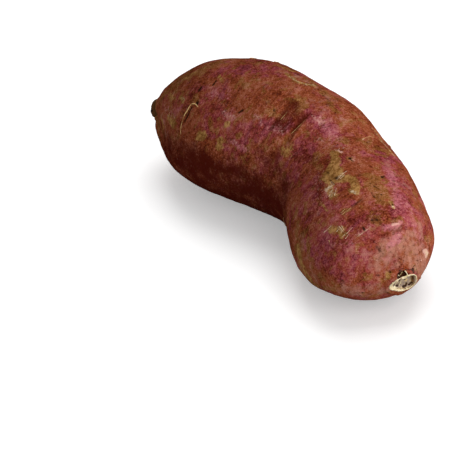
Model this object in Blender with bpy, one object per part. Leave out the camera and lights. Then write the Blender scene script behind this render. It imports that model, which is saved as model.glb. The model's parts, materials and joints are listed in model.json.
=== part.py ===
"""A whole red-skinned sweet potato, bent like a kidney and lying on its flattened belly.

It grew as one piece, so it is one solid: the thick body, the stub of the vine's stalk at the stem end,
and the scar where the thin root broke off at the root end. +X runs from the stem end to the root end,
+Z is up, and the origin is on the surface that it lies on, under the middle of its box.
"""

import math

import bmesh
import bpy
import numpy as np
from mathutils import Vector, noise

MM = 0.001

# The root's course from the stem end to the root end, in millimetres: place along X, place of its
# middle line sideways, half its width, half its height, and its middle line's height.
STATIONS = (
    (-85.5, -21, 0, 0, 38.5),
    (-79, -17.5, 17.5, 16, 38.5),
    (-67, -11, 30, 29, 38),
    (-46, -2.5, 37.5, 36, 37),
    (-19.5, 4, 36.5, 38, 38),
    (7, 5.5, 34.5, 35, 35),
    (31.5, -1, 33, 31.5, 31.5),
    (53, -12, 34.5, 30, 30),
    (70.5, -20, 31.5, 25.5, 29),
    (81, -23.5, 23.5, 18.5, 28.5),
    (86.5, -25, 0, 0, 29),
)
STEM_TIP = STATIONS[0][0]
ROOT_TIP = STATIONS[-1][0]
SIDEWAYS, HALF_WIDTH, HALF_HEIGHT, HEIGHT = 1, 2, 3, 4

# Swellings (plus) and hollows (minus) of the body: place along X in millimetres, angle round it in
# degrees (0 is its +Y side, 90 its top), reach along in millimetres, reach round in degrees, and height
# in millimetres.
SWELLINGS = (
    (26, 205, 18, 42, -1.5),     # the hollow inside the bend
    (64, 205, 13, 28, 2.8),      # the cheek beside that hollow
    (36, 30, 12, 22, 1.2),       # the outside of the bend
    (81, 25, 8, 30, -1.4),       # the rounding off of the root end's far edge
    (-10, 54, 12, 22, -1.6),      # a slight waist on the outside of the bend
    (8, 48, 10, 20, 1.3),        # the shoulder that follows it
    (62, 24, 14, 28, -1.5),      # the long flat outside the root end
    (60, 82, 12, 26, -0.8),      # a flat over the root end
    (70, 100, 8, 30, 0.6),       # the brow before the scar
    (76, 235, 11, 30, -1.3),     # the lifted heel under the root end
    (80, 300, 10, 28, 1.2),      # the fuller far corner of the root end
    (-30, 60, 12, 18, 1.4),      # the crown over the thick end
    (-72, 60, 10, 40, -0.9),     # the fall towards the stalk
    (-82, 182, 9, 30, -2.6),     # the flat under the stalk
    (-73, 211, 11, 24, 2.6),     # the low cheek beside it
)
# Folds of the skin across the inside of the bend: place along X of the fold's middle, how far it slants
# towards +X by 90 degrees of turn, the angle of its middle, reach along, reach round, and height.
FOLDS = (
    (-15, 9, 116, 2.2, 20, -0.4),
    (-7, 13, 122, 2.6, 26, -0.7),
    (4, 8, 112, 2.0, 16, -0.4),
    (9, 12, 132, 2.6, 24, -0.6),
    (70, -5, 118, 2.6, 26, -0.5),
)

# The uneven growth all over, less of it on the belly: wavelength and height of each size of lump.
LUMPS = ((42 * MM, 1.2 * MM), (18 * MM, 0.5 * MM))
LUMP_PLACE = Vector((3.1, 7.7, 1.3))
BELLY_SMOOTHED = 0.75
BELLY_REACH = 40

# The stalk's stub: its radius, its height and the groove round its foot.
STUB_RADIUS = 5.4 * MM
STUB_HEIGHT = 1.7 * MM
STUB_GROOVE = 0.6 * MM
STUB_GROOVE_WIDTH = 2.2 * MM

# The broken-off root's scar, this far from the root tip: a raised lip round a sunken, uneven floor, with a
# deeper hole at its upper edge.
SCAR_OFF = Vector((-1.5, 5.5, -5.3)) * MM
SCAR_RADIUS = 5.9 * MM
SCAR_UNEVEN = 0.13
SCAR_LIP_HEIGHT = 0.9 * MM
SCAR_LIP_WIDTH = 1.4 * MM
SCAR_DEPTH = 2.0 * MM
SCAR_HOLE_RADIUS = 2.0 * MM
SCAR_HOLE_DEPTH = 1.8 * MM
SCAR_HOLE_OFF = Vector((0, -2.8, 5.0)) * MM

# The belly is pressed flat this far above its lowest point, and rounds up into the sides over this height.
BELLY_CUT = 1.5 * MM
BELLY_ROUND = 0.5 * MM

# The grid that the skin is shaped from: cells over a quarter of the girth, and along the root. Its box is
# this much longer than wide, and inside a cone of this half angle at each tip the cells crowd together
# by this power.
QUARTER_CELLS = 21
LENGTH_CELLS = 50
BOX_STRETCH = 1.9
TIP_CONE = math.radians(37.5)
TIP_CROWDING = 1.45

# Within this distance of the stub and of the scar the cells are halved.
FINE_REACH = 9.5 * MM

# Points this far on each side give the middle line's direction, in millimetres.
DIRECTION_REACH = 4.0

SKIN_COLOUR = (0.30, 0.065, 0.055, 1.0)
SKIN_ROUGHNESS = 0.5


def station_value(row, column):
    """A station's value. Widths and heights are squared, which keeps the tips round between stations."""
    value = STATIONS[row][column]
    return value * value if column in (HALF_WIDTH, HALF_HEIGHT) else value


def smooth_slopes(column):
    """The slope along X at each station that makes the curve through them all bend evenly."""
    steps = np.diff([station[0] for station in STATIONS])
    changes = np.diff([station_value(row, column) for row in range(len(STATIONS))])
    last = len(STATIONS) - 1
    bends = np.zeros((last + 1, last + 1))
    sums = np.zeros(last + 1)
    bends[0, :2] = (2, 1)
    sums[0] = 3 * changes[0] / steps[0]
    bends[last, last - 1:] = (1, 2)
    sums[last] = 3 * changes[-1] / steps[-1]
    for n in range(1, last):
        bends[n, n - 1:n + 2] = (1 / steps[n - 1], 2 / steps[n - 1] + 2 / steps[n], 1 / steps[n])
        sums[n] = 3 * (changes[n - 1] / steps[n - 1] ** 2 + changes[n] / steps[n] ** 2)
    return [float(slope) for slope in np.linalg.solve(bends, sums)]


SLOPES = {column: smooth_slopes(column) for column in (SIDEWAYS, HALF_WIDTH, HALF_HEIGHT, HEIGHT)}


def value_at(x, column):
    """One column of STATIONS at x, on a smooth curve through the stations."""
    row = next((n for n in range(1, len(STATIONS)) if x <= STATIONS[n][0]), len(STATIONS) - 1)
    step = STATIONS[row][0] - STATIONS[row - 1][0]
    t = min(max((x - STATIONS[row - 1][0]) / step, 0), 1)
    value = (
        (1 + 2 * t) * (1 - t) ** 2 * station_value(row - 1, column)
        + t * (1 - t) ** 2 * step * SLOPES[column][row - 1]
        + t * t * (3 - 2 * t) * station_value(row, column)
        - t * t * (1 - t) * step * SLOPES[column][row]
    )
    return math.sqrt(max(value, 0)) if column in (HALF_WIDTH, HALF_HEIGHT) else value


def middle_line(x):
    return Vector((x, value_at(x, SIDEWAYS), value_at(x, HEIGHT)))


def box_grid():
    """A box of 2 by 2 by 2 with an even grid of square-cornered cells on each side."""
    bm = bmesh.new()
    bmesh.ops.create_cube(bm, size=2)
    for axis, cells in enumerate((LENGTH_CELLS, QUARTER_CELLS, QUARTER_CELLS)):
        uncut = [e for e in bm.edges if abs((e.verts[0].co - e.verts[1].co)[axis]) > 1.9]
        bmesh.ops.subdivide_edges(bm, edges=uncut, cuts=cells - 1, use_grid_fill=True)
    return bm


def on_ball(co):
    """Where a point of the box grid goes on the unit ball, so that its cells come out even on the body."""
    along = math.tan(co.x * math.atan(BOX_STRETCH))
    ball = Vector((along, math.tan(co.y * math.pi / 4), math.tan(co.z * math.pi / 4))).normalized()
    from_axis = math.hypot(ball.y, ball.z)
    angle = math.atan2(from_axis, abs(ball.x))
    if 0 < angle < TIP_CONE:
        crowded = TIP_CONE * (angle / TIP_CONE) ** TIP_CROWDING
        grow = math.sin(crowded) / from_axis
        ball = Vector((math.copysign(math.cos(crowded), ball.x), ball.y * grow, ball.z * grow))
    return ball


def on_body(ball):
    """The smooth body's point for a point of the unit ball, with its place along X and angle round."""
    x = (STEM_TIP + ROOT_TIP) / 2 + (ROOT_TIP - STEM_TIP) / 2 * ball.x
    angle = math.atan2(ball.z, ball.y)
    ahead = middle_line(min(x + DIRECTION_REACH, ROOT_TIP)) - middle_line(max(x - DIRECTION_REACH, STEM_TIP))
    ahead.normalize()
    side = Vector((0, 0, 1)).cross(ahead).normalized()
    up = ahead.cross(side)
    across = side * value_at(x, HALF_WIDTH) * math.cos(angle) + up * value_at(x, HALF_HEIGHT) * math.sin(angle)
    return (middle_line(x) + across) * MM, x, angle


def halve_cells(bm, place):
    """Halves the box grid's cells that come to lie near a place on the body."""
    far = {v: (on_body(on_ball(v.co))[0] - place).length for v in bm.verts}
    near = [e for e in bm.edges if max(far[v] for v in e.verts) < FINE_REACH]
    bmesh.ops.subdivide_edges(bm, edges=near, cuts=1, use_grid_fill=True)


def bell(distance, reach):
    """1 in the middle, falling smoothly to almost 0 at twice the reach."""
    return math.exp(-((distance / reach) ** 2))


def rise(edge_0, edge_1, value):
    """0 before the first edge, 1 after the second, and smooth between."""
    t = min(max((value - edge_0) / (edge_1 - edge_0), 0), 1)
    return t * t * (3 - 2 * t)


def turn_from(degrees, angle):
    """Degrees from one angle round the body to another given in radians, the short way."""
    return (math.degrees(angle) - degrees + 180) % 360 - 180


def body_relief(point, x, angle):
    """Height of the swellings, folds and lumps at a point of the smooth body."""
    height = sum(
        tall * bell(x - place, along) * bell(turn_from(degrees, angle), about)
        for place, degrees, along, about, tall in SWELLINGS
    )
    for place, slant, degrees, along, about, tall in FOLDS:
        turn = turn_from(degrees, angle)
        height += tall * bell(x - place + slant * turn / 90, along) * bell(turn, about)
    lumps = sum(tall * noise.noise(point / wavelength + LUMP_PLACE) for wavelength, tall in LUMPS)
    return height * MM + lumps * (1 - BELLY_SMOOTHED * bell(turn_from(270, angle), BELLY_REACH))


def stub_relief(from_tip):
    """Height of the stalk's stub, by distance from the stem tip."""
    stub = STUB_HEIGHT * (1 - rise(0.45 * STUB_RADIUS, 1.25 * STUB_RADIUS, from_tip))
    return stub - STUB_GROOVE * bell(from_tip - STUB_RADIUS - STUB_GROOVE_WIDTH, STUB_GROOVE_WIDTH)


def scar_relief(from_scar):
    """Height of the scar's lip, floor and hole, by the way from the scar's middle."""
    turn = math.atan2(from_scar.z, from_scar.y)
    lip = SCAR_RADIUS * (1 + SCAR_UNEVEN * (math.sin(2 * turn + 0.6) + 0.6 * math.sin(3 * turn + 2.0)))
    away = from_scar.length
    height = SCAR_LIP_HEIGHT * bell(away - lip, SCAR_LIP_WIDTH)
    height -= SCAR_DEPTH * (1 - rise(0.45 * lip, lip, away))
    return height - SCAR_HOLE_DEPTH * bell((from_scar - SCAR_HOLE_OFF).length, SCAR_HOLE_RADIUS)


def press_flat(height):
    """A height above the belly's plane, flattened to 0 below it and rounded where it leaves it."""
    if height < -BELLY_ROUND:
        return 0
    return height if height > BELLY_ROUND else (height + BELLY_ROUND) ** 2 / (4 * BELLY_ROUND)


def shape_root():
    """The root's mesh, lying on its belly with the middle of its box over the origin."""
    stem_tip = middle_line(STEM_TIP) * MM
    scar = middle_line(ROOT_TIP) * MM + SCAR_OFF
    bm = box_grid()
    halve_cells(bm, stem_tip)
    halve_cells(bm, scar)
    places = {}
    for v in bm.verts:
        v.co, x, angle = on_body(on_ball(v.co))
        places[v] = (x, angle)
    bm.normal_update()
    moves = {}
    for v, (x, angle) in places.items():
        height = body_relief(v.co, x, angle)
        height += stub_relief((v.co - stem_tip).length) if x < 0 else scar_relief(v.co - scar)
        moves[v] = v.normal * height
    for v, move in moves.items():
        v.co += move
    plane = min(v.co.z for v in bm.verts) + BELLY_CUT
    for v in bm.verts:
        v.co.z = press_flat(v.co.z - plane)
    middle = [(min(v.co[a] for v in bm.verts) + max(v.co[a] for v in bm.verts)) / 2 for a in (0, 1)]
    bmesh.ops.translate(bm, verts=bm.verts, vec=(-middle[0], -middle[1], 0))
    return bm


def skin_material():
    material = bpy.data.materials.new("skin")
    material.use_nodes = True
    shader = material.node_tree.nodes["Principled BSDF"]
    shader.inputs["Base Color"].default_value = SKIN_COLOUR
    shader.inputs["Roughness"].default_value = SKIN_ROUGHNESS
    shader.inputs["Metallic"].default_value = 0
    return material


def main():
    for old in list(bpy.data.objects):
        bpy.data.objects.remove(old)
    mesh = bpy.data.meshes.new("sweet_potato")
    bm = shape_root()
    bm.to_mesh(mesh)
    bm.free()
    mesh.shade_smooth()
    mesh.materials.append(skin_material())
    root = bpy.data.objects.new("sweet_potato", mesh)
    bpy.context.scene.collection.objects.link(root)


main()
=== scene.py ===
import json
import math
import random

import bmesh
import bpy
import numpy as np
from mathutils import Matrix, Vector, noise
from mathutils.bvhtree import BVHTree

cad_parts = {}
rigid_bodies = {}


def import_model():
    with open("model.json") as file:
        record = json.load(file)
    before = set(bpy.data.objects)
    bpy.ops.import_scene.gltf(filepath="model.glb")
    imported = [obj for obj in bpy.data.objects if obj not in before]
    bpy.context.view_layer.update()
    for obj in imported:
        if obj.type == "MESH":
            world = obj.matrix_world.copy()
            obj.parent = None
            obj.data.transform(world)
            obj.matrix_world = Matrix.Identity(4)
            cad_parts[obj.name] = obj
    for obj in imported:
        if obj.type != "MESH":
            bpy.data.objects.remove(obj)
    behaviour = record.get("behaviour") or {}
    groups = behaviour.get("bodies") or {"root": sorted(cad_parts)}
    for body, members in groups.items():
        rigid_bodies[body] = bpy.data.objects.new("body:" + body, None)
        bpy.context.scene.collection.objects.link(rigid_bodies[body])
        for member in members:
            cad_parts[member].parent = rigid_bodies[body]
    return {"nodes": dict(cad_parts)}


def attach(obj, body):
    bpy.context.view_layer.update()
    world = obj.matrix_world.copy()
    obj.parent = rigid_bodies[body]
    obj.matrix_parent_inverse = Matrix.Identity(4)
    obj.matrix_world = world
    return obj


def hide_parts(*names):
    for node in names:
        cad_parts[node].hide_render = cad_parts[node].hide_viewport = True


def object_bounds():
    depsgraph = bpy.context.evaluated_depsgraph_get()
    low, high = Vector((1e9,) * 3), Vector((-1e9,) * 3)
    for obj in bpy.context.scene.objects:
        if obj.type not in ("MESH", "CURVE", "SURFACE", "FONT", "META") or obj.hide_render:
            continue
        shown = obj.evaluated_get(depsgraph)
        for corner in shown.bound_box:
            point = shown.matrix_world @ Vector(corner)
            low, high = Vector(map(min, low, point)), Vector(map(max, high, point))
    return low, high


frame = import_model()
CAD_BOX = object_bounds()
MM = 0.001
root = frame["nodes"]["sweet_potato"]
scene = bpy.context.scene

# Noise that comes out the same each run
NOISE_SEED = 6
noise.seed_set(NOISE_SEED)

# The camera, at the photograph's viewing angle
CAMERA_AZIMUTH = math.radians(46)
CAMERA_HEIGHT = math.radians(38)
CAMERA_DISTANCE = 0.572
CAMERA_TARGET = Vector((0.0027, -0.0448, 0.0176))
FIELD_OF_VIEW = math.radians(22.67)
FRAME_SIZE = 465
HALF_FRAME = FRAME_SIZE / 2
FOCAL_PIXELS = HALF_FRAME / math.tan(FIELD_OF_VIEW / 2)
PIXELS_PER_MM = FOCAL_PIXELS / CAMERA_DISTANCE / 1000
BACK = Vector((
    math.sin(CAMERA_AZIMUTH) * math.cos(CAMERA_HEIGHT),
    -math.cos(CAMERA_AZIMUTH) * math.cos(CAMERA_HEIGHT),
    math.sin(CAMERA_HEIGHT),
))
RIGHT = Vector((math.cos(CAMERA_AZIMUTH), math.sin(CAMERA_AZIMUTH), 0))
UP = BACK.cross(RIGHT)
EYE = CAMERA_TARGET + BACK * CAMERA_DISTANCE


def tint(red, green, blue):
    """A colour as the eye names it, 0 to 255, turned into the light it gives back."""
    parts = []
    for part in (red, green, blue):
        share = part / 255
        parts.append(share / 12.92 if share <= 0.04045 else ((share + 0.055) / 1.055) ** 2.4)
    return (*parts, 1.0)


# Colours of the skin and of what grows on it, and of the painted shade, painted light and painted
# highlights laid over it
TERRACOTTA = tint(138, 67, 38)
MAGENTA = tint(140, 54, 54)
# Painted shade: dark maroon laid where the bend is hollow, in its creases and on the underside
PAINTED_SHADE_MAROON = tint(76, 21, 12)
OCHRE = tint(134, 84, 40)
# Dusty rose: the skin's own colour round the scar, and painted light and a painted rim reflection on the
# lit sides and edges
DUSTY_ROSE_AND_PAINTED_LIGHT = tint(165, 113, 94)
MAUVE = tint(150, 68, 80)
DUST = tint(204, 140, 118)
# Lilac: flecks of the skin, and the painted highlights on the brows
LILAC_AND_HIGHLIGHT = tint(190, 112, 124)
DEEP_RED = tint(66, 14, 6)
SCURF = tint(178, 134, 78)
OLIVE = tint(118, 80, 36)
# Pale flecks, and painted highlights on the brows
PALE_FLECK_AND_HIGHLIGHT = tint(214, 166, 152)
CREAM = tint(228, 213, 178)
BARK = tint(46, 25, 13)
UMBER = tint(98, 66, 38)
SCAR_GREY = tint(152, 132, 116)
SCAR_TAN = tint(196, 168, 120)
HAIR_STRAW = tint(214, 176, 118)
FIBRE_PALE = tint(222, 196, 162)
FIBRE_SHADE = tint(168, 112, 84)
FLESH_SHADE = tint(206, 184, 136)
CRUST_SHADE = tint(110, 66, 50)


def pick(value, low, high):
    """Rises smoothly from 0 at low to 1 at high."""
    share = np.clip((value - low) / (high - low), 0, 1)
    return share * share * (3 - 2 * share)


def bell(distance, reach):
    """1 at the middle of a mark, falling to 0 at its reach."""
    share = np.clip(distance / reach, 0, 1)
    return (1 - share * share) ** 2


# The skin's mesh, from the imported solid
SCAR_MIDDLE = Vector((87.2, -16.2, 23.0)) * MM
STUB_MIDDLE = Vector((-86.7, -16.8, 37.5)) * MM


def eased(bm, middle, reach, rounds, swelling):
    """Smooths the solid's plain relief away round a place, and lets it swell by so many mm."""
    near = [vert for vert in bm.verts if (vert.co - middle).length < reach]
    for _ in range(rounds):
        bmesh.ops.smooth_vert(
            bm, verts=near, factor=0.5, use_axis_x=True, use_axis_y=True, use_axis_z=True)
    bm.normal_update()
    for vert in bm.verts:
        share = float(bell((vert.co - middle).length, reach * 1.5))
        vert.co += vert.normal * swelling * MM * share


def merged_copy(node):
    """A copy of the solid with its loose triangles joined up into four-sided faces."""
    bm = bmesh.new()
    bm.from_mesh(node.data)
    bmesh.ops.remove_doubles(bm, verts=bm.verts, dist=1e-6)
    bmesh.ops.join_triangles(
        bm, faces=bm.faces, angle_face_threshold=math.pi, angle_shape_threshold=math.pi)
    eased(bm, SCAR_MIDDLE, 9 * MM, 25, 2.1)
    eased(bm, STUB_MIDDLE, 8 * MM, 20, -0.4)
    bmesh.ops.recalc_face_normals(bm, faces=bm.faces)
    mesh = bpy.data.meshes.new("skin")
    bm.to_mesh(mesh)
    bm.free()
    return mesh


def put_in_scene(name, data):
    piece = bpy.data.objects.new(name, data)
    scene.collection.objects.link(piece)
    return piece


def plain_mesh(piece):
    """The mesh of a piece whose modifiers or curve are worked out."""
    bpy.context.view_layer.update()
    return bpy.data.meshes.new_from_object(
        piece.evaluated_get(bpy.context.evaluated_depsgraph_get()))


def finished(mesh, material):
    mesh.polygons.foreach_set("use_smooth", [True] * len(mesh.polygons))
    mesh.materials.clear()
    mesh.materials.append(material)


def refined(piece, levels):
    """Rounds the piece's faces off by so many halvings and keeps the result as its mesh."""
    modifier = piece.modifiers.new("finer", "SUBSURF")
    modifier.levels = levels
    modifier.render_levels = levels
    finer = plain_mesh(piece)
    piece.modifiers.clear()
    piece.data = finer
    return piece


FINENESS = 2
skin = refined(put_in_scene("skin", merged_copy(root)), FINENESS)


def points_of(mesh, field="co"):
    """Where each point of the mesh is, or with the field "normal" the way it faces."""
    flat = np.zeros(len(mesh.vertices) * 3)
    mesh.vertices.foreach_get(field, flat)
    return flat.reshape(-1, 3)


def surface_of(mesh):
    """The mesh as a surface that rays can be cast on."""
    return BVHTree.FromPolygons(
        [Vector(place) for place in points_of(mesh)], [face.vertices[:] for face in mesh.polygons])


PLACES = points_of(skin.data)
FACING = points_of(skin.data, "normal")
bare_surface = surface_of(skin.data)


def skin_at(pixel, surface=bare_surface):
    """The point of the skin that the photograph shows at this pixel, and the way it faces."""
    ray = RIGHT * ((pixel[0] - HALF_FRAME) / FOCAL_PIXELS)
    ray += UP * ((HALF_FRAME - pixel[1]) / FOCAL_PIXELS)
    ray -= BACK
    ray.normalize()
    hit, facing, _, _ = surface.ray_cast(EYE, ray)
    if hit is None:
        hit, facing, _, _ = surface.find_nearest(EYE + ray * CAMERA_DISTANCE)
    return hit, facing


def seen_at(places):
    """The pixels of the photograph's frame where these places would show."""
    offset = places - np.array(EYE)
    depth = -(offset @ np.array(BACK))
    return np.stack([
        HALF_FRAME + FOCAL_PIXELS * (offset @ np.array(RIGHT)) / depth,
        HALF_FRAME - FOCAL_PIXELS * (offset @ np.array(UP)) / depth,
    ], 1)


# Straightened coordinates: how far along the root, and how far out from its middle
SLICES = 40


def straightened(places):
    edges = np.linspace(CAD_BOX[0][0], CAD_BOX[1][0], SLICES + 1)
    centres = (edges[1:] + edges[:-1]) / 2
    middles = []
    for low, high in zip(edges, edges[1:]):
        inside = PLACES[(PLACES[:, 0] >= low) & (PLACES[:, 0] <= high)]
        middles.append((inside[:, 1:].min(0) + inside[:, 1:].max(0)) / 2)
    bend, sag = (np.polyfit(centres, line, 2) for line in np.array(middles).T)
    slope = np.polyval(np.polyder(bend), places[:, 0])
    stretch = np.sqrt(1 + slope ** 2)
    aside = (places[:, 1] - np.polyval(bend, places[:, 0])) / stretch
    along = places[:, 0] * (1 + stretch) / 2 + aside * slope
    return np.stack([along, aside, places[:, 2] - np.polyval(sag, places[:, 0])], 1)


STRAIGHT = straightened(PLACES)


def noise_at(places, size, seed, octaves=3):
    """Smooth noise, about -1 to 1, whose lumps are about so large."""
    shift = Vector((seed * 7.13, seed * 3.71, seed * 5.29))
    return np.array([
        noise.fractal(Vector(place) / size + shift, 1.0, 2.0, octaves) for place in places])


def off_stretch(places, start, end):
    """How far each place is from the straight stretch between two points."""
    way = end - start
    share = np.clip((places - start) @ way / max(way @ way, 1e-12), 0, 1)
    return np.linalg.norm(places - start - share[:, None] * way, axis=1)


def away_from(line, places=PLACES):
    """How far each place is from a line of points, or from a single one."""
    return np.min([
        off_stretch(places, np.array(start), np.array(end))
        for start, end in zip(line, line[1:] or line)], axis=0)


# Places pushed about a little, so that marks get ragged edges
WARP = 0.9 * MM
WARPED = PLACES + WARP * np.stack(
    [noise_at(PLACES, 3.2 * MM, 11 + axis, 2) for axis in range(3)], 1)


def total_of(lines, places):
    """The sum of soft marks along lines of points; each has its reach in mm and its strength."""
    total = np.zeros(len(places))
    for line, reach, strength in lines:
        total += strength * bell(away_from(line, places), reach * MM)
    return total


def marked(marks, raggedness=1.0):
    """The sum of soft marks: each has a name, its pixels, its reach in mm and its strength."""
    places = PLACES + (WARPED - PLACES) * raggedness
    return total_of([
        ([skin_at(pixel)[0] for pixel in pixels], reach, strength)
        for _, pixels, reach, strength in marks], places)


def inside_by(pixels, outline):
    """How many pixels inside a closed outline each place is, and less than nothing outside it."""
    nearest = np.full(len(pixels), 1000.0)
    inside = np.zeros(len(pixels), bool)
    for start, end in zip(outline, outline[1:] + outline[:1]):
        start, end = np.array(start[:2]), np.array(end[:2])
        way = end - start
        nearest = np.minimum(nearest, off_stretch(pixels, start, end))
        passes = (start[1] > pixels[:, 1]) != (end[1] > pixels[:, 1])
        crossing = start[0] + (pixels[:, 1] - start[1]) / (way[1] or 1e-9) * way[0]
        inside ^= passes & (pixels[:, 0] < crossing)
    return np.where(inside, nearest, -nearest)


# The upper right rim: a band of tan scurf and pale flecks, partly a painted rim reflection
RIGHT_EDGE = ((374, 130), (381.5, 141), (388, 149), (393, 155))

# Marks, by their pixels in the photograph's frame. Each has its name, its pixels, its reach in mm
# and its strength, which for wrinkles and ridges is their depth or height in mm.
MAGENTA_ZONES = (
    ("back lobe, top", ((205, 100), (232, 72), (262, 70)), 11, 0.55),
    ("back lobe, middle", ((212, 120), (238, 140), (262, 120)), 12, 0.5),
    ("stalk end", ((165, 104), (178, 114)), 6, 0.3),
    ("inside the bend", ((300, 150), (322, 128)), 9, 0.5),
    ("between the grooves", ((270, 131), (283, 129), (289, 121)), 6, 0.7),
    ("past the bend", ((308, 112), (330, 130), (342, 142)), 6, 0.75),
    ("right flank", ((385, 158), (396, 185), (400, 215)), 9, 0.8),
    ("right flank, low", ((412, 205), (424, 240)), 5, 0.45),
    ("front lobe, middle", ((318, 240), (345, 255), (372, 232)), 15, 0.6),
    ("front lobe, upper", ((300, 178), (318, 200), (345, 205)), 9, 0.35),
    ("front lobe, below", ((360, 270), (385, 262)), 9, 0.4),
)
TERRACOTTA_ZONES = (
    ("back lobe, by the bend", ((250, 82), (285, 92), (262, 108)), 12, 0.6),
    ("top edge", ((300, 78), (340, 100), (375, 135)), 8, 0.6),
    ("front top oval", ((354, 168), (372, 170)), 8, 1.2),
    ("patch by the fibre", ((368, 147), (384, 147)), 6, 0.9),
    ("front lobe, left edge", ((297, 225), (303, 262), (330, 285)), 7, 1),
    ("back lobe, low left", ((190, 140), (215, 160)), 12, 0.5),
    ("rough patch", ((370, 178), (385, 198)), 6, 0.9),
    ("below the stalk end", ((160, 128), (168, 148)), 10, 0.7),
)
OCHRE_ZONES = (
    ("front lobe, edge", ((296, 248), (301, 268), (312, 283), (330, 289)), 4.2, 1),
    ("front lobe, left side", ((296, 212), (298, 235), (300, 255)), 4.5, 0.8),
    ("front lobe, inner left", ((304, 236), (308, 256)), 5, 0.6),
    ("left of the star", ((314, 150), (318, 166)), 3.5, 0.7),
    ("above the star", ((338, 140), (346, 141)), 2.5, 0.9),
    ("rough patch", ((369, 176), (378, 188), (386, 200)), 6, 0.9),
    ("patch by the fibre", ((370, 144), (384, 152)), 5.5, 0.8),
    ("back lobe, upper edge", ((163, 96), (180, 80), (198, 71), (220, 63)), 6.5, 1.3),
    ("top edge, left", ((278, 66), (300, 74), (325, 92)), 4.5, 0.6),
    ("stalk end", ((157, 100), (156, 118), (160, 126), (166, 138)), 4, 0.9),
    ("top edge, brown patch", ((330, 104), (338, 112)), 4, 0.8),
    ("streaks below", ((320, 276), (334, 284)), 3, 0.6),
)
# Dusty rose zones: on the right rim, the left part of the top edge, the highlight ridges, the lit side
# of the front lobe and the lit left edge these are painted light, painted highlights and a painted rim
# reflection; elsewhere they are the skin's own colour.
ROSE_AND_PAINTED_LIGHT_ZONES = (
    ("round the scar", ((384, 256), (410, 244), (422, 268)), 14, 1),
    ("right rim", ((385, 160), (410, 195), (424, 225)), 9, 0.4),
    ("past the bend", ((312, 100), (345, 125)), 7, 0.35),
    ("top edge, left", ((285, 71), (305, 80), (332, 100)), 6, 0.6),
    ("lower edge", ((345, 290), (385, 291)), 8, 0.8),
    ("highlight ridges", ((380, 228), (400, 224)), 4, 0.4),
    ("front lobe, lit side", ((302, 238), (304, 252), (311, 270), (317, 282)), 5, 0.5),
    ("lit left edge", ((162, 116), (164, 124), (166, 134)), 4.5, 0.75),
)
# Lilac zones: on the upper and lower brow these are painted highlights; the rest are lilac flecks of the
# skin.
LILAC_AND_HIGHLIGHT_ZONES = (
    ("upper brow", ((386, 227.5), (392, 227), (401, 223)), 2.8, 1.1),
    ("lower brow", ((389, 246), (394, 241), (400, 236)), 3.4, 1.25),
    ("right flank", ((390, 172), (395, 188), (397, 203)), 4.8, 0.85),
    ("right flank, low", ((408, 205), (413, 222), (421, 243)), 4, 0.6),
    ("above the scar", ((386, 258), (394, 260)), 3.5, 0.5),
    ("past the bend", ((322, 123), (330, 130), (337, 138)), 5, 0.7),
    ("between the grooves", ((272, 130), (284, 130), (290, 124)), 3.5, 0.6),
    ("back lobe, middle", ((224, 113), (232, 119)), 3.5, 0.7),
    ("back lobe, low", ((230, 141), (238, 145), (246, 150)), 3, 0.75),
    ("back lobe, right", ((254, 115), (262, 121)), 3, 0.5),
    ("back lobe, high", ((212, 90), (222, 97), (230, 92)), 5, 0.45),
    ("stalk end", ((166, 108), (173, 112)), 5, 0.35),
    ("front lobe, middle", ((330, 238), (344, 247), (352, 240)), 6, 0.3),
    ("front lobe, right", ((372, 203), (380, 212), (368, 226)), 5, 0.35),
)
# Painted shade: dark maroon laid in the creases and folds of the bend, between and above the brows and
# low on the back lobe; the negative ones take painted shade away on the lit side of the front lobe and
# the lit left edge.
PAINTED_SHADE_ZONES = (
    ("back lobe, low", ((178, 142), (196, 150), (208, 154)), 8, 0.3),
    ("groove in the bend", ((262, 152), (278, 172), (288, 195)), 8, 0.55),
    ("folds in the bend", ((276, 132), (288, 122), (296, 112)), 7, 0.3),
    ("beside the deep groove", ((293, 131), (299, 121), (304, 114)), 4, 0.4),
    ("deep groove, hollow", ((297, 127), (303, 118)), 3, 0.2),
    ("dark fold", ((280, 122), (287, 115), (293, 107)), 6.5, 0.75),
    ("inside the bend", ((278, 150), (290, 150), (300, 156)), 6, 0.45),
    ("front lobe, lit side", ((299, 225), (302, 246), (310, 270), (324, 286)), 6.5, -0.9),
    ("lit left edge", ((162, 118), (166, 134)), 5, -0.5),
    ("left of the star", ((312, 160), (318, 172), (316, 190), (313, 212)), 8, 0.42),
    ("between the brows", ((382, 238), (392, 233), (402, 229)), 2.6, 0.5),
    ("above the upper brow", ((374, 221), (386, 216), (396, 213)), 3.5, 0.4),
)
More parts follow.
